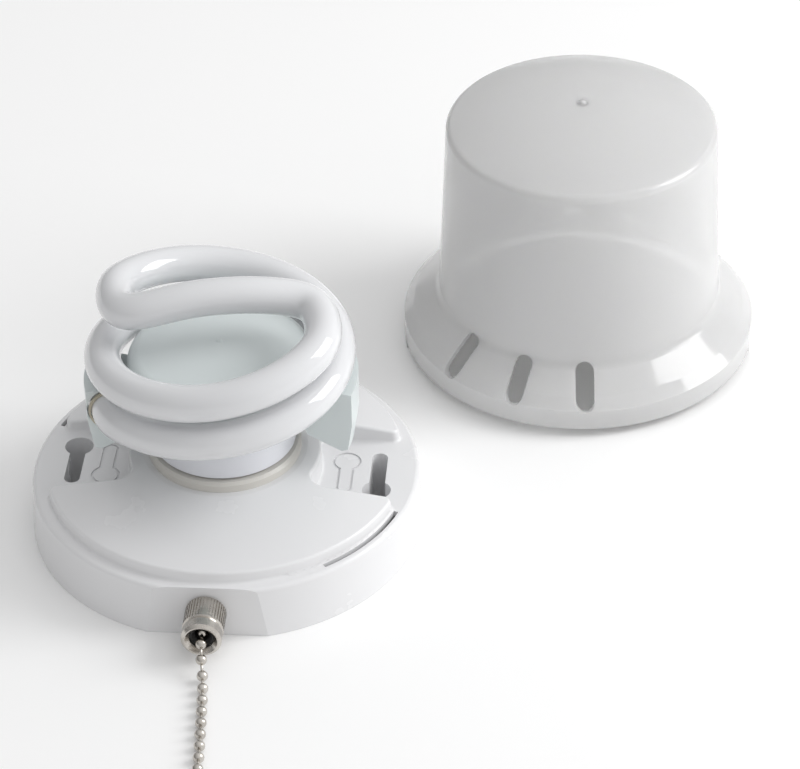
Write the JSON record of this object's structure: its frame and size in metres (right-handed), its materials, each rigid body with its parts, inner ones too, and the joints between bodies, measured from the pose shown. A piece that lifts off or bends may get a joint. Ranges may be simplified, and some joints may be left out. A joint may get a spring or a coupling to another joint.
{
  "type": "pull-chain lampholder",
  "caption": "Round plastic ceiling lampholder with a pull-chain switch, a twist-in spiral fluorescent lamp and a removable flared milky cover standing beside it.",
  "frame": {"origin": "centre of the mounting face, which lies on z=0", "axes": "+Z out of the mounting surface towards the lamp, -Y the side where the chain comes out, +X to the right seen from the chain side"},
  "size_m": [0.2113, 0.3143, 0.0849],
  "materials": {
    "base_plastic": "glossy moulded",
    "socket_cream": "satin moulded",
    "steel": "zinc plated",
    "brass": "stamped",
    "switch_plastic": "moulded phenolic",
    "fibre": "fibre board",
    "wire_black": "smooth insulation",
    "nickel": "nickel plated",
    "guide_black": "moulded nylon",
    "cap_plastic": "satin moulded",
    "lamp_plastic": "satin moulded",
    "tube_glass": "phosphor coated inside",
    "cement": "dry cement",
    "board": "laminate",
    "component_black": "moulded",
    "shade_milky": "glossy translucent moulded"
  },
  "bodies": {
    "lampholder": {"base_housing": "base_plastic", "socket_body": "socket_cream", "socket_base": "socket_cream", "socket_screws": "steel", "socket_contact_line": "brass", "socket_contact_neutral": "brass", "neutral_terminal": "brass", "contact_rivets": "brass", "switch_case": "switch_plastic", "switch_cover": "fibre", "switch_rivets": "brass", "switch_contact_supply": "brass", "switch_contact_load": "brass", "terminal_screws": "brass", "switch_lead": "wire_black", "switch_nipple": "brass", "chain_ferrule": "nickel", "chain_guide": "guide_black", "rotor_pin": "steel"},
    "pull_chain_set": {"pull_slider": "fibre", "return_spring": "steel", "chain_lead": "nickel", "pull_chain": "nickel", "chain_coil": "nickel", "chain_end_bell": "nickel"},
    "contact_rotor": {"star_wheel": "fibre", "contact_bridge": "brass"},
    "lamp": {"lamp_base_cap": "cap_plastic", "lamp_pins": "nickel", "spiral_tube": "tube_glass", "lamp_housing": "lamp_plastic", "tube_cement": "cement", "ballast_board": "board", "ballast_capacitor": "component_black", "ballast_choke": "component_black", "ballast_transistors": "component_black"},
    "cover": {"cover_shade": "shade_milky"}
  },
  "joints": [
    {"name": "chain_pull", "type": "slide", "parent": "lampholder", "child": "pull_chain_set", "axis": [0, -1, 0], "range_m": [0, 0.008], "stiffness_N_per_m": 300, "deforming": ["return_spring"]},
    {"name": "rotor_turn", "type": "hinge", "parent": "lampholder", "child": "contact_rotor", "pos_m": [-0.0042, -0.036, 0.0048], "axis": [0, 0, -1], "range_deg": [0, 90]},
    {"name": "lamp_twist", "type": "hinge", "parent": "lampholder", "child": "lamp", "pos_m": [0, 0, 0.0285], "axis": [0, 0, 1], "range_deg": [0, 35]},
    {"name": "cover_lift", "type": "slide", "parent": "lampholder", "child": "cover", "axis": [0, 0, 1], "range_m": [0, 0.12]}
  ],
  "couplings": [
    {"joint": "rotor_turn", "follows": "chain_pull", "rad_per_m": 196.3}
  ]
}
